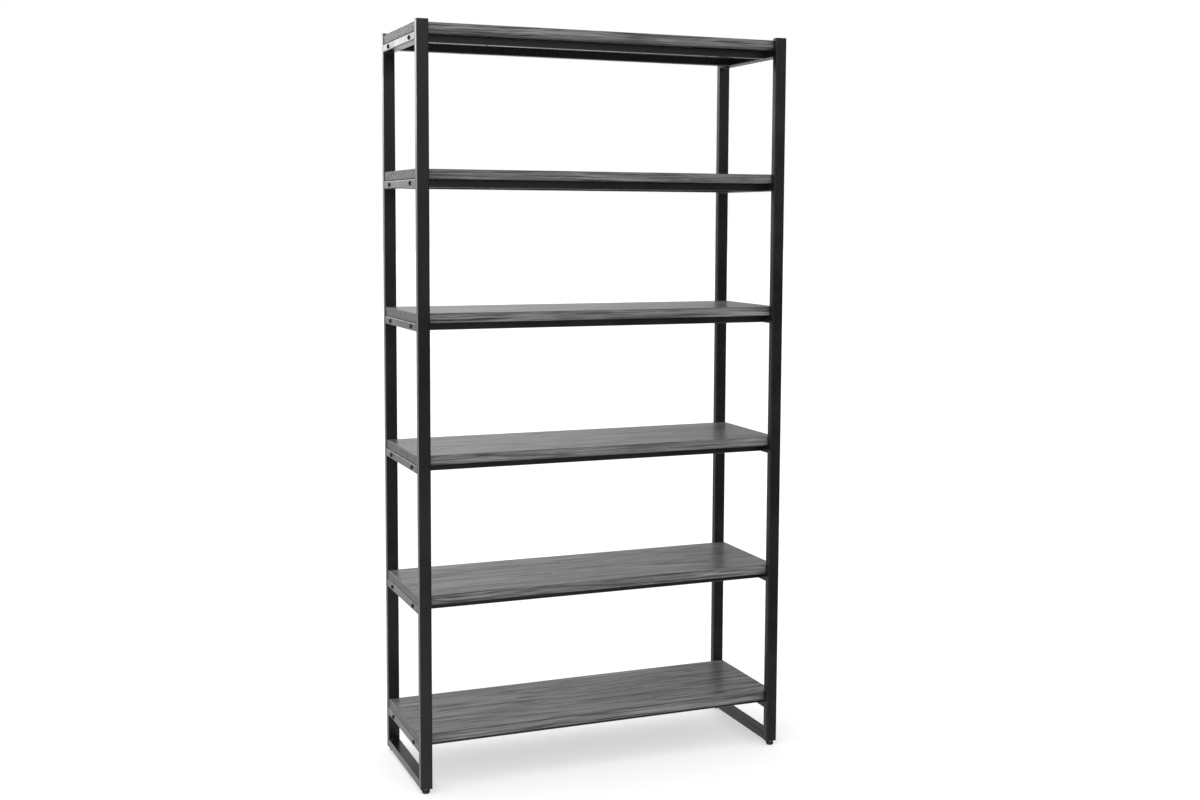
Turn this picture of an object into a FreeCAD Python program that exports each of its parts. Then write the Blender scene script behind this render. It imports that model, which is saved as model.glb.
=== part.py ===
import FreeCAD, Part

# Open bookcase: two welded steel ladder frames, long rails, six wooden boards and four screw-in feet.
# Millimetres. X runs along the boards, Y from the front (-) to the rear (+), Z up from the floor.
# The origin is the middle of the footprint, on the floor. Levels are numbered from the bottom board up.

import math
import os
from FreeCAD import Vector

# Overall size, over the bolt heads at the two ends and down to the underside of the feet
WIDTH = 1000.0
DEPTH = 347.0
HEIGHT = 1895.0

# Rectangular steel tube of the two end frames
FRAME_TUBE_WIDE = 30.0
FRAME_TUBE_DEEP = 20.0
TUBE_WALL = 1.5
TUBE_CORNER = 2.5
FRAME_BOTTOM = 12.0

# Square steel tube of the long rails
LONG_TUBE = 20.0
LONG_RAIL_Y = 103.0

# Shelf levels: the boards lie on the rails, whose tops are one pitch apart
LEVELS = 6
LEVEL_PITCH = 349.0
LOWEST_RAIL_TOP = 121.5

# Wooden boards
BOARD_THICK = 24.0
BOARD_END_INSET = 1.0
BOARD_EDGE_GAP = 1.0
BOARD_ROUNDING = 2.0

# End plugs of the uprights
CAP_LID = 2.0
CAP_LID_ROUNDING = 0.8
CAP_BODY_LENGTH = 12.0
PLUG_CLEARANCE = 0.1

# M6 button-head bolts through the cross rails into plates welded in the ends of the long rails
BOLT_RADIUS = 3.0
BOLT_LENGTH = 40.0
BOLT_HEAD_RADIUS = 6.0
BOLT_HEAD_HEIGHT = 3.0
BOLT_HEAD_RIM = 0.6
BOLT_HEAD_FLAT = 2.9
BOLT_HEX_FLATS = 4.0
BOLT_HEX_DEPTH = 1.8
BOLT_HOLE_RADIUS = 3.3
END_PLATE_THICK = 6.0
THREAD_CLEARANCE = 0.05

# Wood screws with their heads inside the long rails, up through the rails' top walls into the boards;
# an access hole in each rail's bottom wall lets the screw and its driver in
SCREW_X = 300.0
SCREW_RADIUS = 2.0
SCREW_LENGTH = 16.0
SCREW_TIP = 3.0
SCREW_TIP_GAP = 1.0
SCREW_HEAD_RADIUS = 4.0
SCREW_HEAD_HEIGHT = 2.2
SCREW_HEAD_ROUNDING = 1.0
SCREW_CROSS_WIDE = 1.1
SCREW_CROSS_LONG = 4.4
SCREW_CROSS_DEPTH = 1.3
SCREW_HOLE_RADIUS = 2.2
SCREW_ACCESS_RADIUS = 4.6

# Levelling feet: a pad, and an M8 stud that turns in the pad and screws into a socket in the upright
PAD_RADIUS = 10.0
PAD_HEIGHT = 8.5
PAD_BOTTOM_ROUNDING = 3.5
PAD_TOP_ROUNDING = 1.5
PAD_POCKET_DEPTH = 5.0
STUD_RADIUS = 4.0
STUD_NECK_RADIUS = 3.0
STUD_HEX_FLATS = 13.0
STUD_BELOW_FRAME = 0.3
STUD_ABOVE_PAD = 0.2
STUD_NECK_END_GAP = 0.3
STUD_TOP = 44.0
STUD_CHAMFER = 0.8
SOCKET_LENGTH = 22.0

INNER_WIDE = FRAME_TUBE_WIDE - 2 * TUBE_WALL
INNER_DEEP = FRAME_TUBE_DEEP - 2 * TUBE_WALL
INNER_CORNER = TUBE_CORNER - TUBE_WALL
FRAME_WIDTH = WIDTH - 2 * BOLT_HEAD_HEIGHT
UPRIGHT_X = (FRAME_WIDTH - FRAME_TUBE_WIDE) / 2
UPRIGHT_Y = (DEPTH - FRAME_TUBE_DEEP) / 2
CROSS_RAIL_LENGTH = DEPTH - 2 * FRAME_TUBE_DEEP
LONG_RAIL_LENGTH = FRAME_WIDTH - 2 * FRAME_TUBE_WIDE

SIDES = {"left": -1, "right": 1}
ENDS = {"front": -1, "rear": 1}


def rail_top(level):
    return LOWEST_RAIL_TOP + LEVEL_PITCH * (level - 1)


def rounded_prism(wide, deep, height, rounding):
    """Upright block centred on Z, standing on Z = 0, with its four upright edges rounded."""
    block = Part.makeBox(wide, deep, height, Vector(-wide / 2, -deep / 2, 0))
    upright_edges = [edge for edge in block.Edges if abs(edge.tangentAt(edge.FirstParameter).z) > 0.9]
    return block.makeFillet(rounding, upright_edges)


def tube(wide, deep, length):
    """Hollow tube standing on Z = 0."""
    outside = rounded_prism(wide, deep, length, TUBE_CORNER)
    inside = rounded_prism(wide - 2 * TUBE_WALL, deep - 2 * TUBE_WALL, length, INNER_CORNER)
    return outside.cut(inside)


def hexagon_prism(across_flats, height):
    """Hexagonal prism centred on Z, standing on Z = 0, with two of its flats facing X."""
    corner_radius = across_flats / math.sqrt(3)
    turns = [math.radians(60 * k) for k in range(6)]
    corners = [Vector(corner_radius * math.sin(turn), corner_radius * math.cos(turn), 0) for turn in turns]
    outline = Part.makePolygon(corners + corners[:1])
    return Part.Face(outline).extrude(Vector(0, 0, height))


def round_edges_at(shape, height, rounding):
    """Round every edge that lies flat at one height."""
    rim = [
        edge for edge in shape.Edges
        if abs(edge.BoundBox.ZMin - height) < 1e-6 and abs(edge.BoundBox.ZMax - height) < 1e-6
    ]
    return shape.makeFillet(rounding, rim)


def laid_along_x(shape):
    """Turn a shape that runs up Z so that it runs along +X."""
    return shape.rotated(Vector(0, 0, 0), Vector(0, 1, 0), 90)


def laid_along_y(shape):
    """Turn a shape that runs up Z so that it runs along +Y."""
    return shape.rotated(Vector(0, 0, 0), Vector(1, 0, 0), -90)


def moved(shape, x, y, z):
    return shape.translated(Vector(x, y, z))


def corner_places():
    """Name and centre of each upright."""
    for side, x_sign in SIDES.items():
        for end, y_sign in ENDS.items():
            yield f"{end}_{side}", x_sign * UPRIGHT_X, y_sign * UPRIGHT_Y


# ---- Frames ----

def make_upright():
    return tube(FRAME_TUBE_WIDE, FRAME_TUBE_DEEP, HEIGHT - CAP_LID - FRAME_BOTTOM)


def make_cross_rail():
    """Short rail between a front and a rear upright, centred on the origin along Y, top face at Z = 0."""
    rail = laid_along_y(tube(FRAME_TUBE_WIDE, FRAME_TUBE_DEEP, CROSS_RAIL_LENGTH))
    return moved(rail, 0, -CROSS_RAIL_LENGTH / 2, -FRAME_TUBE_DEEP / 2)


def make_drilled_cross_rail():
    """Cross rail with a bolt hole through both its side walls at each long rail."""
    rail = make_cross_rail()
    for y in (-LONG_RAIL_Y, LONG_RAIL_Y):
        hole = laid_along_x(Part.makeCylinder(BOLT_HOLE_RADIUS, FRAME_TUBE_WIDE))
        rail = rail.cut(moved(hole, -FRAME_TUBE_WIDE / 2, y, -LONG_TUBE / 2))
    return rail


def make_cap():
    """Plastic plug in the top of an upright: a lid, with its underside at Z = 0, and a body below it."""
    lid = rounded_prism(FRAME_TUBE_WIDE, FRAME_TUBE_DEEP, CAP_LID, TUBE_CORNER)
    lid = round_edges_at(lid, CAP_LID, CAP_LID_ROUNDING)
    body = rounded_prism(
        INNER_WIDE - 2 * PLUG_CLEARANCE, INNER_DEEP - 2 * PLUG_CLEARANCE, CAP_BODY_LENGTH, INNER_CORNER
    )
    return lid.fuse(moved(body, 0, 0, -CAP_BODY_LENGTH)).removeSplitter()


# ---- Long rails and what joins them ----

def make_long_rail():
    """Rail along X, centred on the origin, top face at Z = 0, drilled for the wood screws and their driver."""
    rail = laid_along_x(tube(LONG_TUBE, LONG_TUBE, LONG_RAIL_LENGTH))
    rail = moved(rail, -LONG_RAIL_LENGTH / 2, 0, -LONG_TUBE / 2)
    for x in (-SCREW_X, SCREW_X):
        rail = rail.cut(moved(Part.makeCylinder(SCREW_HOLE_RADIUS, TUBE_WALL), x, 0, -TUBE_WALL))
        rail = rail.cut(moved(Part.makeCylinder(SCREW_ACCESS_RADIUS, TUBE_WALL), x, 0, -LONG_TUBE))
    return rail


def make_end_plate():
    """Threaded plate inside the end of a long rail, standing on Z = 0."""
    size = LONG_TUBE - 2 * TUBE_WALL - 2 * PLUG_CLEARANCE
    plate = rounded_prism(size, size, END_PLATE_THICK, INNER_CORNER)
    return plate.cut(Part.makeCylinder(BOLT_RADIUS + THREAD_CLEARANCE, END_PLATE_THICK))


def make_bolt():
    """Button-head bolt: the head stands up from Z = 0, and the shank hangs below it."""
    rim = Vector(BOLT_HEAD_RADIUS, 0, BOLT_HEAD_RIM)
    crown = Vector(BOLT_HEAD_FLAT, 0, BOLT_HEAD_HEIGHT)
    bulge = Vector(0.42 * BOLT_HEAD_FLAT + 0.58 * BOLT_HEAD_RADIUS, 0, 0.75 * BOLT_HEAD_HEIGHT)
    half_section = Part.Wire([
        Part.makeLine(Vector(0, 0, 0), Vector(BOLT_HEAD_RADIUS, 0, 0)),
        Part.makeLine(Vector(BOLT_HEAD_RADIUS, 0, 0), rim),
        Part.Arc(rim, bulge, crown).toShape(),
        Part.makeLine(crown, Vector(0, 0, BOLT_HEAD_HEIGHT)),
        Part.makeLine(Vector(0, 0, BOLT_HEAD_HEIGHT), Vector(0, 0, 0)),
    ])
    head = Part.Face(half_section).revolve(Vector(0, 0, 0), Vector(0, 0, 1), 360)
    socket = moved(hexagon_prism(BOLT_HEX_FLATS, BOLT_HEX_DEPTH), 0, 0, BOLT_HEAD_HEIGHT - BOLT_HEX_DEPTH)
    shank = Part.makeCylinder(BOLT_RADIUS, BOLT_LENGTH, Vector(0, 0, -BOLT_LENGTH))
    return head.cut(socket).fuse(shank).removeSplitter()


def make_wood_screw():
    """Pan-head screw pointing up: the shank starts at Z = 0, and the cross-recessed head hangs below it."""
    head = Part.makeCylinder(SCREW_HEAD_RADIUS, SCREW_HEAD_HEIGHT, Vector(0, 0, -SCREW_HEAD_HEIGHT))
    head = round_edges_at(head, -SCREW_HEAD_HEIGHT, SCREW_HEAD_ROUNDING)
    for size_x, size_y in ((SCREW_CROSS_LONG, SCREW_CROSS_WIDE), (SCREW_CROSS_WIDE, SCREW_CROSS_LONG)):
        slot = Part.makeBox(size_x, size_y, SCREW_CROSS_DEPTH)
        head = head.cut(moved(slot, -size_x / 2, -size_y / 2, -SCREW_HEAD_HEIGHT))
    shank = Part.makeCylinder(SCREW_RADIUS, SCREW_LENGTH - SCREW_TIP)
    tip = Part.makeCone(SCREW_RADIUS, 0, SCREW_TIP, Vector(0, 0, SCREW_LENGTH - SCREW_TIP))
    return head.fuse([shank, tip]).removeSplitter()


# ---- Boards ----

def make_board():
    """Board lying on Z = 0 with rounded edges and a pilot hole for each wood screw."""
    length = FRAME_WIDTH - 2 * BOARD_END_INSET
    deep = DEPTH - 2 * FRAME_TUBE_DEEP - 2 * BOARD_EDGE_GAP
    board = Part.makeBox(length, deep, BOARD_THICK, Vector(-length / 2, -deep / 2, 0))
    board = board.makeFillet(BOARD_ROUNDING, board.Edges)
    hole_depth = SCREW_LENGTH - TUBE_WALL + SCREW_TIP_GAP
    for x in (-SCREW_X, SCREW_X):
        for y in (-LONG_RAIL_Y, LONG_RAIL_Y):
            hole = Part.makeCylinder(SCREW_RADIUS + THREAD_CLEARANCE, hole_depth)
            board = board.cut(moved(hole, x, y, 0))
    return board


# ---- Levelling feet ----

def make_foot_socket():
    """Threaded plug inside the bottom of an upright, standing on Z = 0."""
    plug = rounded_prism(
        INNER_WIDE - 2 * PLUG_CLEARANCE, INNER_DEEP - 2 * PLUG_CLEARANCE, SOCKET_LENGTH, INNER_CORNER
    )
    return plug.cut(Part.makeCylinder(STUD_RADIUS + THREAD_CLEARANCE, SOCKET_LENGTH))


def make_foot_pad():
    """Round pad on the floor with a pocket for the stud's neck."""
    pad = Part.makeCylinder(PAD_RADIUS, PAD_HEIGHT)
    pad = round_edges_at(pad, 0, PAD_BOTTOM_ROUNDING)
    pad = round_edges_at(pad, PAD_HEIGHT, PAD_TOP_ROUNDING)
    pocket = Part.makeCylinder(STUD_NECK_RADIUS + THREAD_CLEARANCE, PAD_POCKET_DEPTH)
    return pad.cut(moved(pocket, 0, 0, PAD_HEIGHT - PAD_POCKET_DEPTH))


def make_foot_stud():
    """Stud with a neck in the pad, a hexagon for a spanner and a shank up into the socket."""
    neck_bottom = PAD_HEIGHT - PAD_POCKET_DEPTH + STUD_NECK_END_GAP
    hex_bottom = PAD_HEIGHT + STUD_ABOVE_PAD
    hex_top = FRAME_BOTTOM - STUD_BELOW_FRAME
    neck = Part.makeCylinder(STUD_NECK_RADIUS, hex_bottom - neck_bottom, Vector(0, 0, neck_bottom))
    hexagon = moved(hexagon_prism(STUD_HEX_FLATS, hex_top - hex_bottom), 0, 0, hex_bottom)
    shank = Part.makeCylinder(STUD_RADIUS, STUD_TOP - hex_top - STUD_CHAMFER, Vector(0, 0, hex_top))
    tip = Part.makeCone(
        STUD_RADIUS, STUD_RADIUS - STUD_CHAMFER, STUD_CHAMFER, Vector(0, 0, STUD_TOP - STUD_CHAMFER)
    )
    return neck.fuse([hexagon, shank, tip]).removeSplitter()


# ---- Assembly: every node's name and its solids in place ----

def build_nodes():
    nodes = {}
    upright, cap, socket = make_upright(), make_cap(), make_foot_socket()
    pad, stud = make_foot_pad(), make_foot_stud()
    for corner, x, y in corner_places():
        nodes[f"upright_{corner}"] = [moved(upright, x, y, FRAME_BOTTOM)]
        nodes[f"top_cap_{corner}"] = [moved(cap, x, y, HEIGHT - CAP_LID)]
        nodes[f"foot_socket_{corner}"] = [moved(socket, x, y, FRAME_BOTTOM)]
        nodes[f"foot_pad_{corner}"] = [moved(pad, x, y, 0)]
        nodes[f"foot_stud_{corner}"] = [moved(stud, x, y, 0)]

    base_rail, cross_rail = make_cross_rail(), make_drilled_cross_rail()
    end_plate = laid_along_x(make_end_plate())
    for side, x_sign in SIDES.items():
        nodes[f"base_rail_{side}"] = [moved(base_rail, x_sign * UPRIGHT_X, 0, FRAME_BOTTOM + FRAME_TUBE_DEEP)]
        bolt = make_bolt().rotated(Vector(0, 0, 0), Vector(0, 1, 0), 90 * x_sign)
        plate_x = x_sign * LONG_RAIL_LENGTH / 2 - (END_PLATE_THICK if x_sign > 0 else 0)
        bolts, plates = [], []
        for level in range(1, LEVELS + 1):
            nodes[f"cross_rail_{side}_{level}"] = [moved(cross_rail, x_sign * UPRIGHT_X, 0, rail_top(level))]
            for y_sign in ENDS.values():
                centre = (y_sign * LONG_RAIL_Y, rail_top(level) - LONG_TUBE / 2)
                bolts.append(moved(bolt, x_sign * FRAME_WIDTH / 2, *centre))
                plates.append(moved(end_plate, plate_x, *centre))
        nodes[f"frame_bolts_{side}"] = bolts
        nodes[f"rail_end_plates_{side}"] = plates

    long_rail, board, screw = make_long_rail(), make_board(), make_wood_screw()
    for end, y_sign in ENDS.items():
        screws = []
        for level in range(1, LEVELS + 1):
            nodes[f"{end}_rail_{level}"] = [moved(long_rail, 0, y_sign * LONG_RAIL_Y, rail_top(level))]
            for x in (-SCREW_X, SCREW_X):
                screws.append(moved(screw, x, y_sign * LONG_RAIL_Y, rail_top(level) - TUBE_WALL))
        nodes[f"board_screws_{end}"] = screws
    for level in range(1, LEVELS + 1):
        nodes[f"shelf_board_{level}"] = [moved(board, 0, 0, rail_top(level))]
    return nodes


os.makedirs("parts", exist_ok=True)
for name, solids in build_nodes().items():
    shape = solids[0] if len(solids) == 1 else Part.makeCompound(solids)
    shape.exportStep(f"parts/{name}.step")
    print(name, len(shape.Solids), "solid(s)", round(shape.Volume / 1000, 2), "cm3", shape.isValid())
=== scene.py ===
"""Bookcase with a black tubular steel frame and six grey wooden boards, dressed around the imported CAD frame.

Metres throughout. X runs along the boards, Y from the front (-) to the rear (+), Z up from the floor.
"""
import math

import bpy
import numpy as np
from mathutils import Matrix, Vector


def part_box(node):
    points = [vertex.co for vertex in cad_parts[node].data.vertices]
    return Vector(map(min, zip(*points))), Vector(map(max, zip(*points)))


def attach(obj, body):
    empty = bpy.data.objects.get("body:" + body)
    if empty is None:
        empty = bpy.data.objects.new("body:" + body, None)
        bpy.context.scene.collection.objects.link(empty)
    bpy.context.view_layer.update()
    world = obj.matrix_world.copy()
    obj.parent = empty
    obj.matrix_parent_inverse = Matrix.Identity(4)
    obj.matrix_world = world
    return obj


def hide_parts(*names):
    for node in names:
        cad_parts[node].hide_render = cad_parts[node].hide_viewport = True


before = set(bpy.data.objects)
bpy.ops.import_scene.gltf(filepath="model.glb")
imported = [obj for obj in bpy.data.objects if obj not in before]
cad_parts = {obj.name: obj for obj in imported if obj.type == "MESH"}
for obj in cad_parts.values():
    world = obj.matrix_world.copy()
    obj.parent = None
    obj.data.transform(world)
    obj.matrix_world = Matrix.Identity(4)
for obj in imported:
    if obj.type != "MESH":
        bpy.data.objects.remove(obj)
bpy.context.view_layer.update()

LEVELS = range(1, 7)
SIDES = ("left", "right")
ENDS = ("front", "rear")
CORNERS = [f"{end}_{side}" for end in ENDS for side in SIDES]


# ---------------------------------------------------------------- shader helpers

class Nodes:
    """A node tree built by short calls that return output sockets."""

    def __init__(self, tree):
        self.tree = tree

    def set(self, node, socket, value):
        target = node.inputs[socket]
        if isinstance(value, bpy.types.NodeSocket):
            self.tree.links.new(value, target)
        else:
            target.default_value = value

    def node(self, kind, sockets=None, **settings):
        made = self.tree.nodes.new("ShaderNode" + kind)
        for name, value in settings.items():
            setattr(made, name, value)
        for socket, value in (sockets or {}).items():
            self.set(made, socket, value)
        return made

    def math(self, operation, first, second=0.0):
        return self.node("Math", {0: first, 1: second}, operation=operation).outputs[0]

    def vector(self, operation, first, second=(0, 0, 0)):
        made = self.node("VectorMath", {0: first, 1: second}, operation=operation)
        return made.outputs["Value" if operation == "LENGTH" else "Vector"]

    def sum(self, *values):
        total = values[0]
        for value in values[1:]:
            total = self.math("ADD", total, value)
        return total

    def product(self, *values):
        total = values[0]
        for value in values[1:]:
            total = self.math("MULTIPLY", total, value)
        return total

    def noise(self, place, scale, detail, roughness=0.5):
        sockets = {"Vector": place, "Scale": scale, "Detail": detail, "Roughness": roughness}
        return self.node("TexNoise", sockets).outputs["Fac"]

    def noise_vector(self, place, scale, detail):
        made = self.node("TexNoise", {"Vector": place, "Scale": scale, "Detail": detail})
        return self.vector("SUBTRACT", made.outputs["Color"], (0.5, 0.5, 0.5))

    def stretch(self, place, factors):
        return self.vector("MULTIPLY", place, factors)

    def remap(self, value, low, high, to_low=0.0, to_high=1.0, smooth=True):
        sockets = {"Value": value, "From Min": low, "From Max": high, "To Min": to_low, "To Max": to_high}
        kind = "SMOOTHSTEP" if smooth else "LINEAR"
        return self.node("MapRange", sockets, interpolation_type=kind).outputs["Result"]

    def grey(self, value):
        return self.node("CombineColor", {0: value, 1: value, 2: value}).outputs[0]


class Shader(Nodes):
    """A material with one Principled surface."""

    def __init__(self, name, **surface):
        self.material = bpy.data.materials.new(name)
        self.material.use_nodes = True
        super().__init__(self.material.node_tree)
        self.surface = self.tree.nodes["Principled BSDF"]
        for socket, value in surface.items():
            self.set(self.surface, socket.replace("_", " "), value)

    def bump(self, height, distance, strength=1.0, normal=None):
        sockets = {"Height": height, "Distance": distance, "Strength": strength}
        if normal is not None:
            sockets["Normal"] = normal
        return self.node("Bump", sockets).outputs["Normal"]

    def object_place(self):
        return self.node("TexCoord").outputs["Object"]

    def attribute(self, name, output="Vector"):
        return self.node("Attribute", attribute_name=name).outputs[output]

    def finish(self, **surface):
        for socket, value in surface.items():
            self.set(self.surface, socket.replace("_", " "), value)
        return self.material


# ---------------------------------------------------------------- materials

def powder_coat():
    """Black powder coat: a fine pebbled skin with slow changes of tone and gloss."""
    shader = Shader("black_powder_coat", IOR=1.5)
    place = shader.object_place()
    pebbles = shader.noise(place, 1400, 2, 0.6)
    ripple = shader.noise(place, 260, 2, 0.5)
    cloud = shader.noise(place, 9, 3, 0.55)
    tone = shader.sum(shader.remap(cloud, 0.3, 0.7, 0.0050, 0.0085), shader.product(pebbles, 0.003))
    gloss_cloud = shader.sum(cloud, shader.product(pebbles, 0.4))
    return shader.finish(
        Base_Color=shader.grey(tone),
        Roughness=shader.remap(gloss_cloud, 0.4, 1.0, 0.22, 0.34),
        Normal=shader.bump(pebbles, 0.00005, 0.14, shader.bump(ripple, 0.00010, 0.06)),
    )


def moulded_plastic(name, tone, roughness):
    """Black moulded plastic with a spark-eroded skin."""
    shader = Shader(name, IOR=1.46)
    place = shader.object_place()
    grain = shader.noise(place, 2200, 3, 0.6)
    cloud = shader.noise(place, 60, 2, 0.5)
    return shader.finish(
        Base_Color=shader.grey(shader.remap(cloud, 0.3, 0.7, tone * 0.8, tone * 1.2)),
        Roughness=shader.remap(grain, 0.3, 0.7, roughness - 0.06, roughness + 0.06),
        Normal=shader.bump(grain, 0.00006, 0.5),
    )


def black_oxide():
    """Blackened bolt steel: dark, a little oily, mottled where the oxide is thicker."""
    shader = Shader("black_oxide_steel", IOR=1.45)
    place = shader.object_place()
    mottle = shader.noise(place, 420, 4, 0.6)
    return shader.finish(
        Base_Color=shader.grey(shader.remap(mottle, 0.3, 0.7, 0.004, 0.010)),
        Roughness=shader.remap(mottle, 0.3, 0.7, 0.40, 0.55),
        Normal=shader.bump(mottle, 0.00005, 0.4),
    )


def bare_metal(name, tone, roughness):
    """Plated or plain steel with a faint mottle and turning marks."""
    shader = Shader(name, Metallic=1.0)
    place = shader.object_place()
    mottle = shader.noise(place, 300, 4, 0.6)
    marks = shader.noise(shader.stretch(place, (500, 500, 9000)), 1, 2, 0.5)
    return shader.finish(
        Base_Color=shader.grey(shader.remap(mottle, 0.3, 0.7, tone * 0.82, tone * 1.1)),
        Roughness=shader.remap(mottle, 0.3, 0.7, roughness - 0.07, roughness + 0.08),
        Normal=shader.bump(marks, 0.00003, 0.4),
    )


WOOD_TONE = 0.150
RING_PITCH = 0.0058


def rustic_wood():
    """Grey flat-sawn wood: growth rings round a pith line, bent aside by knots, with painted shade on its
    edges.
    """
    shader = Shader("grey_rustic_wood", IOR=1.46)
    place = shader.attribute("wood_place")
    # Painted shade: a dark band along every edge of the board, standing in for the shadow lines there.
    edge = shader.attribute("painted_edge_shade", "Fac")
    end_grain = shader.attribute("end_grain", "Fac")

    slow_bend = shader.noise_vector(shader.stretch(place, (1.7, 5.0, 5.0)), 1, 2)
    quick_bend = shader.noise_vector(shader.stretch(place, (9.0, 34.0, 34.0)), 1, 2)
    bend = shader.vector(
        "ADD", shader.stretch(slow_bend, (0, 0.070, 0.045)), shader.stretch(quick_bend, (0, 0.009, 0.005))
    )
    across = shader.vector("ADD", shader.stretch(place, (0.015, 1, 1)), bend)

    knot_cells = shader.node(
        "TexVoronoi", {"Vector": shader.stretch(place, (2.3, 6.0, 2.0)), "Scale": 1.0, "Randomness": 0.95}
    )
    knot_far = knot_cells.outputs["Distance"]
    knot_swell = shader.remap(knot_far, 0.0, 0.30, 0.024, 0.0)
    ring_radius = shader.sum(shader.vector("LENGTH", across), knot_swell)
    ring = shader.math("FRACT", shader.product(ring_radius, 1 / RING_PITCH))
    latewood = shader.product(shader.remap(ring, 0.30, 0.88), shader.remap(ring, 0.92, 1.0, 1.0, 0.0))
    year = shader.node("CombineXYZ", {0: shader.product(ring_radius, 45), 1: 0.0, 2: 0.0}).outputs[0]
    year_and_place = shader.vector("ADD", year, shader.stretch(place, (1.1, 3, 3)))
    year_strength = shader.remap(shader.noise(year_and_place, 1, 2), 0.40, 0.66, 0.10, 1.0)
    latewood = shader.product(latewood, year_strength)

    wavy = shader.vector("ADD", place, shader.stretch(bend, (1, 0.6, 0.6)))
    wide_streaks = shader.noise(shader.stretch(wavy, (2.8, 50, 240)), 1, 5, 0.74)
    narrow_streaks = shader.noise(shader.stretch(wavy, (5.0, 150, 150)), 1, 3, 0.60)
    clouds = shader.noise(shader.stretch(place, (3.5, 9, 9)), 1, 3, 0.55)
    fibres = shader.noise(shader.stretch(place, (14, 800, 800)), 1, 3, 0.6)
    pores = shader.remap(shader.noise(shader.stretch(place, (70, 1500, 1500)), 1, 1, 0.5), 0.66, 0.74)
    dark_lines = shader.remap(shader.noise(shader.stretch(wavy, (4.2, 72, 300)), 1, 2, 0.45), 0.57, 0.63)
    pale_lines = shader.remap(shader.noise(shader.stretch(wavy, (4.2, 80, 120)), 1, 2, 0.45), 0.43, 0.34)
    checks = shader.remap(shader.noise(shader.stretch(place, (5.0, 260, 260)), 1, 1, 0.5), 0.70, 0.76)
    knot_heart = shader.remap(knot_far, 0.018, 0.060, 1.0, 0.0)

    swing = shader.sum(
        shader.product(shader.math("SUBTRACT", wide_streaks, 0.5), 3.7),
        shader.product(shader.math("SUBTRACT", narrow_streaks, 0.5), 1.9),
        shader.product(shader.math("SUBTRACT", clouds, 0.5), 0.75),
        shader.product(shader.math("SUBTRACT", fibres, 0.5), 0.80),
    )
    along_grain = shader.remap(end_grain, 0, 1, 1.0, 0.30, smooth=False)
    tone = shader.product(shader.sum(shader.product(swing, along_grain), 1.06), WOOD_TONE)
    # edge darkens the wood with painted shade along the board's edges; the other marks are the wood's own.
    for amount, left in (
        (latewood, 0.50), (pores, 0.75), (dark_lines, 0.30), (checks, 0.40), (knot_heart, 0.35), (edge, 0.66),
        (end_grain, 0.66),
    ):
        tone = shader.product(tone, shader.remap(amount, 0, 1, 1.0, left, smooth=False))
    tone = shader.product(tone, shader.remap(pale_lines, 0, 1, 1.0, 1.28, smooth=False))
    tone = shader.math("MAXIMUM", tone, 0.02)

    hollows = shader.math("MAXIMUM", shader.math("MAXIMUM", pores, checks), shader.product(dark_lines, 0.5))
    relief = shader.sum(
        shader.product(latewood, 0.5), shader.product(fibres, 0.5), shader.product(hollows, -0.9)
    )
    return shader.finish(
        Base_Color=shader.grey(tone),
        Roughness=shader.sum(
            shader.remap(shader.sum(fibres, wide_streaks), 0.6, 1.4, 0.26, 0.40),
            shader.product(end_grain, 0.14),
        ),
        Normal=shader.bump(shader.product(relief, along_grain), 0.00035, 0.6),
    )


STEEL = powder_coat()
WOOD = rustic_wood()
CAP_PLASTIC = moulded_plastic("black_cap_plastic", 0.010, 0.44)
FOOT_PLASTIC = moulded_plastic("black_foot_plastic", 0.012, 0.22)
BOLT_METAL = black_oxide()
ZINC = bare_metal("zinc_plated_steel", 0.58, 0.34)
PLATE_METAL = bare_metal("plain_steel", 0.42, 0.42)

NODE_MATERIALS = {
    "upright": STEEL, "cross_rail": STEEL, "base_rail": STEEL, "front_rail": STEEL, "rear_rail": STEEL,
    "top_cap": CAP_PLASTIC, "foot_socket": CAP_PLASTIC, "foot_pad": FOOT_PLASTIC, "foot_stud": ZINC,
    "frame_bolts": BOLT_METAL, "board_screws": ZINC, "rail_end_plates": PLATE_METAL, "shelf_board": WOOD,
}
for node_name, node_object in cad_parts.items():
    kind = next(start for start in NODE_MATERIALS if node_name.startswith(start))
    node_object.data.materials.clear()
    node_object.data.materials.append(NODE_MATERIALS[kind])


# ---------------------------------------------------------------- mesh helpers

def add_mesh(name, vertices, faces, material, body, slot, sharp_angle=None):
    """Mesh piece that rides a body; faces that meet at more than the sharp angle keep a hard edge."""
    mesh = bpy.data.meshes.new(name)
    mesh.from_pydata([tuple(v) for v in vertices], [], [tuple(f) for f in faces])
    mesh.validate()
    mesh.materials.append(material)
    mesh.shade_smooth()
    if sharp_angle is not None:
        mesh.set_sharp_from_angle(angle=math.radians(sharp_angle))
    piece = bpy.data.objects.new(name, mesh)
    bpy.context.scene.collection.objects.link(piece)
    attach(piece, body)
    return piece


def stacked_rings(rings):
    """Closed surface through rings of equally many points, capped at both ends about their middles."""
    rings = [np.asarray(ring, float) for ring in rings]
    count = len(rings[0])
    vertices = np.vstack(rings + [rings[0].mean(axis=0), rings[-1].mean(axis=0)])
    first_middle, last_middle = len(vertices) - 2, len(vertices) - 1
    top = count * (len(rings) - 1)
    faces = []
    for j in range(count):
        k = (j + 1) % count
        faces.append((first_middle, k, j))
        faces.append((last_middle, top + j, top + k))
        for i in range(len(rings) - 1):
            low, high = i * count, (i + 1) * count
            faces.append((low + j, low + k, high + k, high + j))
    return vertices, faces


TURNED_SEGMENTS = 48


def turned_ring(radii, height, centre):
    """Ring of points about an upright line; radii is one radius or one for each point."""
    angles = np.arange(TURNED_SEGMENTS) * 2 * math.pi / TURNED_SEGMENTS
    radii = np.broadcast_to(radii, angles.shape)
    heights = np.full_like(angles, height)
    return np.stack([centre[0] + radii * np.cos(angles), centre[1] + radii * np.sin(angles), heights], axis=1)


# ---------------------------------------------------------------- boards

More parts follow.
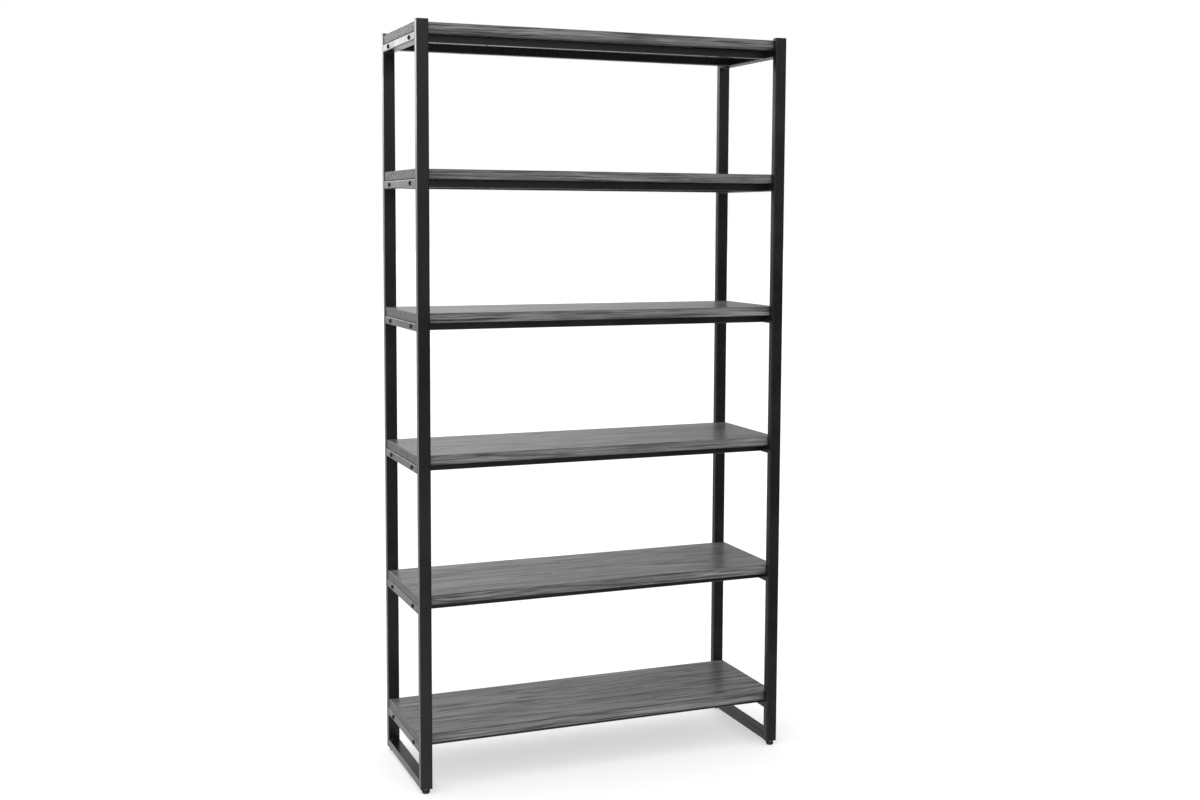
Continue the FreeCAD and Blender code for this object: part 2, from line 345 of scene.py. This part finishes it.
BOARD_ROUNDING = 0.0022
ROUNDING_STEPS = 4
# Distances in from a rounded edge at which the grid has a line.
SHOULDER_STEPS = (0.0015, 0.0035, 0.006, 0.009, 0.013)
# Even steps between the shoulders, along X, Y and Z.
BOARD_STEPS = (90, 84, 5)
GRAIN_RELIEF = 0.00016
EDGE_WEAR = 0.0010
# Width of the band of painted shade along every board edge, and how far that width swings.
EDGE_SHADE_WIDTH = 0.0038
EDGE_SHADE_SWING = 0.6
BOARD_SEED = 40
# How many waves, then the least and greatest wavelength along each of the two directions.
GRAIN_WAVES = (10, (0.25, 1.2), (0.009, 0.03))
WEAR_WAVES = (8, (0.02, 0.22), (0.05, 0.2))
EDGE_SHADE_WAVES = (9, (0.06, 0.50), (0.03, 0.3))
# Spans of a board's place in the tree, along, across and above the pith.
TREE_SPANS = ((-4, 4), (-0.07, 0.07), (0.06, 0.10))


def edge_steps(half_size, middle_steps):
    """Positions along one axis of a board: fine over and beside the rounded edges, even between."""
    flat = half_size - BOARD_ROUNDING
    turn = [
        BOARD_ROUNDING * math.tan(math.radians(45) * k / ROUNDING_STEPS) for k in range(ROUNDING_STEPS, 0, -1)
    ]
    shoulder = [step for step in SHOULDER_STEPS if step < flat / 2]
    inner = flat - shoulder[-1]
    low = [-flat - t for t in turn] + [-flat] + [-flat + step for step in shoulder[:-1]]
    middle = np.linspace(-inner, inner, middle_steps + 1)
    return np.concatenate([low, middle, [-value for value in reversed(low)]])


def rounded_box_grid(size, middle_steps):
    """Vertices, outward normals and quads of a box with rounded edges, as one closed grid."""
    half = np.array(size) / 2
    steps = [edge_steps(half[a], middle_steps[a]) for a in range(3)]
    index, places, quads = {}, [], []

    def corner(ijk):
        if ijk not in index:
            index[ijk] = len(places)
            places.append([steps[a][ijk[a]] for a in range(3)])
        return index[ijk]

    for axis in range(3):
        u, v = (axis + 1) % 3, (axis + 2) % 3
        for side in (0, len(steps[axis]) - 1):
            for i in range(len(steps[u]) - 1):
                for j in range(len(steps[v]) - 1):
                    ring = []
                    for di, dj in ((0, 0), (1, 0), (1, 1), (0, 1)):
                        ijk = [0, 0, 0]
                        ijk[axis], ijk[u], ijk[v] = side, i + di, j + dj
                        ring.append(corner(tuple(ijk)))
                    quads.append(ring if side else ring[::-1])
    places = np.array(places)
    core = np.clip(places, -(half - BOARD_ROUNDING), half - BOARD_ROUNDING)
    normals = places - core
    normals /= np.linalg.norm(normals, axis=1)[:, None]
    return core + normals * BOARD_ROUNDING, normals, quads


def wave_field(random, x, y, count, x_lengths, y_lengths):
    """Sum of random plane waves with wavelengths in the given spans, clipped to -1 to 1."""
    total = np.zeros_like(x)
    for _ in range(count):
        along = 2 * math.pi / random.uniform(*x_lengths)
        across = 2 * math.pi / random.uniform(*y_lengths) * random.choice([-1, 1])
        total += np.sin(along * x + across * y + random.uniform(0, 2 * math.pi))
    return np.clip(total / math.sqrt(count * 2), -1, 1)


def make_board(level):
    """Board with worn edges darkened by painted shade, brushed grain and its own place in the tree for the
    wood shader.
    """
    node = f"shelf_board_{level}"
    low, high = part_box(node)
    size, centre = np.array(high) - np.array(low), (np.array(low) + np.array(high)) / 2
    places, normals, quads = rounded_box_grid(size, BOARD_STEPS)
    random = np.random.default_rng(BOARD_SEED + level)
    x, y, z = places.T
    grain = wave_field(random, x, y + z, *GRAIN_WAVES)
    wear = wave_field(random, x, y + 6 * z, *WEAR_WAVES)
    on_edge = 1 - np.max(np.abs(normals), axis=1)
    depth = GRAIN_RELIEF * (1 + grain) + EDGE_WEAR * on_edge * (1 + wear)
    worn = places - normals * depth[:, None]
    board = add_mesh(f"wood_board_{level}", worn + centre, quads, WOOD, "root", "board_wood")

    from_pith = np.array([random.uniform(*span) for span in TREE_SPANS])
    in_tree = board.data.attributes.new("wood_place", "FLOAT_VECTOR", "POINT")
    in_tree.data.foreach_set("vector", (worn + from_pith).astype(np.float32).ravel())

    to_faces = np.sort(size / 2 - np.abs(places), axis=1)
    # Painted shade along every edge: darkest at the edge, fading over a width that waves.
    band = EDGE_SHADE_WIDTH * (1.0 + EDGE_SHADE_SWING * wave_field(random, x, y, *EDGE_SHADE_WAVES))
    painted_edge_shade = np.exp(-((to_faces[:, 1] / band) ** 2))
    edge_shade_layer = board.data.attributes.new("painted_edge_shade", "FLOAT", "POINT")
    edge_shade_layer.data.foreach_set("value", painted_edge_shade.astype(np.float32))
    end_grain = board.data.attributes.new("end_grain", "FLOAT", "POINT")
    end_grain.data.foreach_set("value", (normals[:, 0] ** 4).astype(np.float32))
    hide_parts(node)


for level in LEVELS:
    make_board(level)


# ---------------------------------------------------------------- feet

M8_PITCH = 0.00125
M8_RADIUS = 0.004
M8_THREAD_DEPTH = 0.00077
# Flats at the thread's crest and root, as shares of the pitch.
M8_CREST_FLAT = 1 / 8
M8_ROOT_FLAT = 1 / 4
RINGS_PER_TURN = 8
NECK_RADIUS = 0.003
HEX_ACROSS_FLATS = 0.013
# Heights above the floor of the hexagon's underside and top.
HEX_LOW = 0.0087
HEX_HIGH = 0.0117
HEX_CHAMFER = 0.0005
TIP_CHAMFER = 0.0008


def hexagon_radii(cut_corners):
    """Radius of a hexagon at each ring angle, with its corners turned down to the given radius."""
    angles = np.arange(TURNED_SEGMENTS) * 2 * math.pi / TURNED_SEGMENTS
    from_flat = (angles + math.pi / 6) % (math.pi / 3) - math.pi / 6
    return np.minimum(HEX_ACROSS_FLATS / 2 / np.cos(from_flat), cut_corners)


def thread_radii(height):
    """Radius of a right-hand M8 thread at each ring angle."""
    turn = np.arange(TURNED_SEGMENTS) / TURNED_SEGMENTS
    from_crest = np.abs((height / M8_PITCH - turn) % 1 - 0.5) * 2
    flank = 1 - M8_CREST_FLAT - M8_ROOT_FLAT
    return M8_RADIUS - M8_THREAD_DEPTH * np.clip((from_crest - M8_CREST_FLAT) / flank, 0, 1)


def make_stud(corner):
    """Zinc-plated stud: a neck in the pad, a chamfered hexagon and a threaded shank."""
    low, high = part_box(f"foot_stud_{corner}")
    centre, bottom, top = (low + high) / 2, low[2], high[2]
    corner_radius = HEX_ACROSS_FLATS / 2 / math.cos(math.pi / 6)
    turned_down = corner_radius - 2 * HEX_CHAMFER
    profile = [
        (bottom, NECK_RADIUS), (HEX_LOW, NECK_RADIUS), (HEX_LOW, hexagon_radii(turned_down)),
        (HEX_LOW + HEX_CHAMFER, hexagon_radii(corner_radius)),
        (HEX_HIGH - HEX_CHAMFER, hexagon_radii(corner_radius)),
        (HEX_HIGH, hexagon_radii(turned_down)),
    ]
    thread_rings = int((top - HEX_HIGH) / M8_PITCH * RINGS_PER_TURN)
    for height in np.linspace(HEX_HIGH, top, thread_rings + 1):
        chamfered = M8_RADIUS - TIP_CHAMFER + (top - height)
        profile.append((height, np.minimum(thread_radii(height), chamfered)))
    rings = [turned_ring(radii, height, centre) for height, radii in profile]
    stud = add_mesh(
        f"threaded_stud_{corner}", *stacked_rings(rings), ZINC, f"foot_stud_body_{corner}", "stud_steel",
        sharp_angle=28,
    )
    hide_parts(f"foot_stud_{corner}")


PAD_FLAT_RADIUS = 0.0065
PAD_DOME_RISE = 0.0035
PAD_UNDERSIDE_INNER_RING = 0.002
PAD_GROOVE = 0.0003
PAD_GROOVE_HEIGHTS = (0.0050, 0.0052, 0.0057, 0.0059)
PAD_TOP_ROUNDING = 0.0015
# Rings of the shallow dish and the collar in the pad's top: drop below the top, then radius.
PAD_DISH = ((0.0002, 0.0075), (0.0004, 0.0055), (0.0, 0.0045), (0.0, 0.0034))
PAD_POCKET_RADIUS = 0.00305
PAD_POCKET_CHAMFER = 0.0003
PAD_POCKET_FLOOR = 0.0035
PAD_POCKET_INNER_RING = 0.001


def quarter_turn(radius, height, reach, rise, start, steps=8):
    """Points (height, radius) of a quarter ellipse about a centre, from a start angle in degrees."""
    turns = [math.radians(start + 90 * k / steps) for k in range(steps + 1)]
    return [(height + rise * math.sin(t), radius + reach * math.cos(t)) for t in turns]


def make_pad(corner):
    """Plastic pad with a rounded underside, a moulded groove and a pocket for the stud's neck."""
    low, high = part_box(f"foot_pad_{corner}")
    centre, radius, height = (low + high) / 2, (high[0] - low[0]) / 2, high[2] - low[2]
    dome = radius - PAD_FLAT_RADIUS
    rounding = PAD_TOP_ROUNDING
    profile = [(0, PAD_UNDERSIDE_INNER_RING)]
    profile += quarter_turn(PAD_FLAT_RADIUS, PAD_DOME_RISE, dome, PAD_DOME_RISE, -90)
    profile += zip(PAD_GROOVE_HEIGHTS, (radius, radius - PAD_GROOVE, radius - PAD_GROOVE, radius))
    profile += quarter_turn(radius - rounding, height - rounding, rounding, rounding, 0)
    profile += [(height - drop, ring_radius) for drop, ring_radius in PAD_DISH]
    profile += [
        (height - PAD_POCKET_CHAMFER, PAD_POCKET_RADIUS),
        (PAD_POCKET_FLOOR, PAD_POCKET_RADIUS),
        (PAD_POCKET_FLOOR, PAD_POCKET_INNER_RING),
    ]
    rings = [turned_ring(ring_radius, low[2] + ring_height, centre) for ring_height, ring_radius in profile]
    pad = add_mesh(
        f"moulded_pad_{corner}", *stacked_rings(rings), FOOT_PLASTIC, f"foot_pad_body_{corner}",
        "foot_plastic", sharp_angle=40,
    )
    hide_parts(f"foot_pad_{corner}")


for corner in CORNERS:
    make_stud(corner)
    make_pad(corner)


# ---------------------------------------------------------------- weld beads

BEAD_LEG = 0.0032
BEAD_HALF_LENGTH = 0.0118
BEAD_RIPPLES = 9
BEAD_STATIONS = 54
BEAD_SINK = 0.0002
# Shares of the leg: how far it drops between ripples, how high a ripple stands, how far the face bulges.
BEAD_RIPPLE_DROP = 0.06
BEAD_RIPPLE_RISE = 0.10
BEAD_BULGE = 0.16
# Square of the share of the leg that is left at a bead's ends.
BEAD_END_LEFT = 0.02


def weld_bead(corner_line, along, rail_side, post_side):
    """Rippled fillet bead in the corner where a rail's face meets a post's face.

    rail_side and post_side are the unit normals of the two faces; along is the unit direction of the bead.
    """
    rings = []
    for t in np.linspace(-1, 1, BEAD_STATIONS + 1):
        end_taper = math.sqrt(max(1 - t ** 6, BEAD_END_LEFT))
        ripple = 1 + BEAD_RIPPLE_RISE * abs(math.sin(math.pi * BEAD_RIPPLES * t / 2)) - BEAD_RIPPLE_DROP
        leg = BEAD_LEG * end_taper * ripple
        place = corner_line + along * BEAD_HALF_LENGTH * t
        foot_a = place + post_side * leg - rail_side * BEAD_SINK
        foot_b = place + rail_side * leg - post_side * BEAD_SINK
        ring = [place - (rail_side + post_side) * BEAD_SINK, foot_a]
        for share in (0.25, 0.5, 0.75):
            bulge = (rail_side + post_side) * leg * BEAD_BULGE * math.sin(math.pi * share)
            ring.append(foot_a + (foot_b - foot_a) * share + bulge)
        rings.append(ring + [foot_b])
    vertices, faces = stacked_rings(rings)
    if np.dot(np.cross(post_side, rail_side), along) < 0:
        faces = [face[::-1] for face in faces]
    return vertices, faces


def make_weld_beads(side):
    """Beads under both ends of each cross rail and on top of both ends of the base rail, as one piece."""
    vertices, faces = [], []
    along_x = np.array([1.0, 0.0, 0.0])
    rails = [(f"cross_rail_{side}_{level}", -1) for level in LEVELS] + [(f"base_rail_{side}", 1)]
    for rail, up in rails:
        low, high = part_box(rail)
        height = high[2] if up > 0 else low[2]
        for y, inward in ((low[1], 1), (high[1], -1)):
            line = np.array([(low[0] + high[0]) / 2, y, height])
            bead, bead_faces = weld_bead(line, along_x, np.array([0.0, 0, up]), np.array([0.0, inward, 0]))
            faces += [[index + len(vertices) for index in face] for face in bead_faces]
            vertices += list(bead)
    add_mesh(f"weld_beads_{side}", vertices, faces, STEEL, "root", "frame_steel", sharp_angle=50)


for side in SIDES:
    make_weld_beads(side)


# ---------------------------------------------------------------- floor, light and camera

FLOOR_HALF_SIZE = 60.0
FLOOR_GLOW = 0.50
FLOOR_TONES = (0.60, 0.62)


def make_floor():
    """Pale studio floor that glows a little, which keeps its shadows light. Gloss sees the room instead."""
    half = FLOOR_HALF_SIZE
    corners = [(-half, -half, 0), (half, -half, 0), (half, half, 0), (-half, half, 0)]
    mesh = bpy.data.meshes.new("floor")
    mesh.from_pydata(corners, [], [(0, 1, 2, 3)])
    shader = Shader("pale_floor", Roughness=0.9, Emission_Color=(1, 1, 1, 1), Emission_Strength=FLOOR_GLOW)
    cloud = shader.noise(shader.object_place(), 0.6, 2)
    tone = shader.remap(cloud, 0.3, 0.7, *FLOOR_TONES)
    mesh.materials.append(shader.finish(Base_Color=shader.grey(tone)))
    floor = bpy.data.objects.new("floor", mesh)
    bpy.context.scene.collection.objects.link(floor)
    floor.visible_glossy = False


ROOM_DARK = 0.20
ROOM_DARK_RIGHT = 0.06
ROOM_BRIGHT = 1.00
REAR_DARK = 0.75
REAR_BRIGHT = 1.20
REAR_LEFT_PANEL = 3.5
REAR_FAR_LEFT = 0.20
DARKEST_HEIGHT = -0.13


def mix(nodes, first, second, share):
    """The first value where the share is 0, the second where it is 1."""
    return nodes.sum(nodes.product(first, nodes.math("SUBTRACT", 1.0, share)), nodes.product(second, share))


def make_world():
    """Room light by direction, on a sky that the camera sees as plain white.

    In front there is a dark band just below the horizon. Behind there is a pale wall that fades to the sides,
    upward and downward, with a bright panel on its left.
    """
    world = bpy.data.worlds.new("studio")
    bpy.context.scene.world = world
    world.use_nodes = True
    nodes = Nodes(world.node_tree)
    nodes.tree.nodes.clear()
    x, y, z = nodes.node("SeparateXYZ", {0: nodes.node("TexCoord").outputs["Generated"]}).outputs
    from_band = nodes.math("ABSOLUTE", nodes.math("SUBTRACT", z, DARKEST_HEIGHT))
    to_right = nodes.remap(x, 0.15, 0.55)
    front = nodes.remap(from_band, 0.05, 0.32, ROOM_DARK, ROOM_BRIGHT)
    front_right = nodes.remap(from_band, 0.15, 0.50, ROOM_DARK_RIGHT, ROOM_BRIGHT)
    room = mix(nodes, front, front_right, to_right)
    panel = nodes.product(
        nodes.remap(z, 0.035, 0.105), nodes.remap(z, 0.30, 0.50, 1.0, 0.0),
        nodes.remap(x, -0.20, -0.12, 1.0, 0.0), nodes.remap(x, -0.45, -0.32), REAR_LEFT_PANEL,
    )
    fade_right = nodes.remap(x, 0.28, 0.56, 1.0, 0.25)
    fade_up = nodes.remap(z, 0.15, 0.27, 1.40, 0.36)
    fade_down = nodes.remap(z, -0.37, -0.22, 0.60, 1.0)
    fade_left = nodes.remap(x, -0.44, -0.34, REAR_FAR_LEFT, 1.0)
    wall = nodes.remap(from_band, 0.05, 0.25, REAR_DARK, REAR_BRIGHT)
    rear = nodes.sum(nodes.product(wall, fade_right, fade_left, fade_up, fade_down), panel)
    strength = mix(nodes, room, rear, nodes.remap(y, 0.30, 0.80))
    lit_room = nodes.node("Background", {"Color": (1, 1, 1, 1), "Strength": strength}).outputs[0]
    white = nodes.node("Background", {"Color": (1, 1, 1, 1), "Strength": 1.0}).outputs[0]
    seen = nodes.node("LightPath").outputs["Is Camera Ray"]
    sky = nodes.node("MixShader", {0: seen, 1: lit_room, 2: white}).outputs[0]
    nodes.node("OutputWorld", {"Surface": sky})


SUN_PLACE = (-1.4, 0.6, 3.2)
SUN_ENERGY = 0.7
SUN_SPREAD = 70


def make_sun():
    """Soft high sun, aimed from its place at the middle of the floor under the bookcase."""
    light = bpy.data.lights.new("high_sun", "SUN")
    light.energy = SUN_ENERGY
    light.angle = math.radians(SUN_SPREAD)
    lamp = bpy.data.objects.new("high_sun", light)
    bpy.context.scene.collection.objects.link(lamp)
    lamp.location = SUN_PLACE
    lamp.rotation_euler = (-Vector(SUN_PLACE)).to_track_quat("-Z", "Y").to_euler()


CAMERA_PLACE = (-1.4327, -3.6645, 1.4224)
CAMERA_HEADING = 0.3813
CAMERA_PITCH = -0.0872
CAMERA_ROLL = 0.0043
SENSOR_WIDTH = 36.0
FOCAL_LENGTH = 44.84
CAMERA_SHIFT = (0.0025, -0.0419)


def make_camera():
    """The photograph's camera, solved from the frame's edges and the printed sizes, then adjusted."""
    data = bpy.data.cameras.new("camera")
    data.sensor_fit = "HORIZONTAL"
    data.sensor_width = SENSOR_WIDTH
    data.lens = FOCAL_LENGTH
    data.shift_x, data.shift_y = CAMERA_SHIFT
    camera = bpy.data.objects.new("camera", data)
    bpy.context.scene.collection.objects.link(camera)
    turn = (
        Matrix.Rotation(-CAMERA_HEADING, 4, "Z")
        @ Matrix.Rotation(math.pi / 2 + CAMERA_PITCH, 4, "X")
        @ Matrix.Rotation(CAMERA_ROLL, 4, "Z")
    )
    camera.matrix_world = Matrix.Translation(CAMERA_PLACE) @ turn
    bpy.context.scene.camera = camera


make_floor()
make_world()
make_sun()
make_camera()
bpy.context.scene.view_settings.view_transform = "Standard"
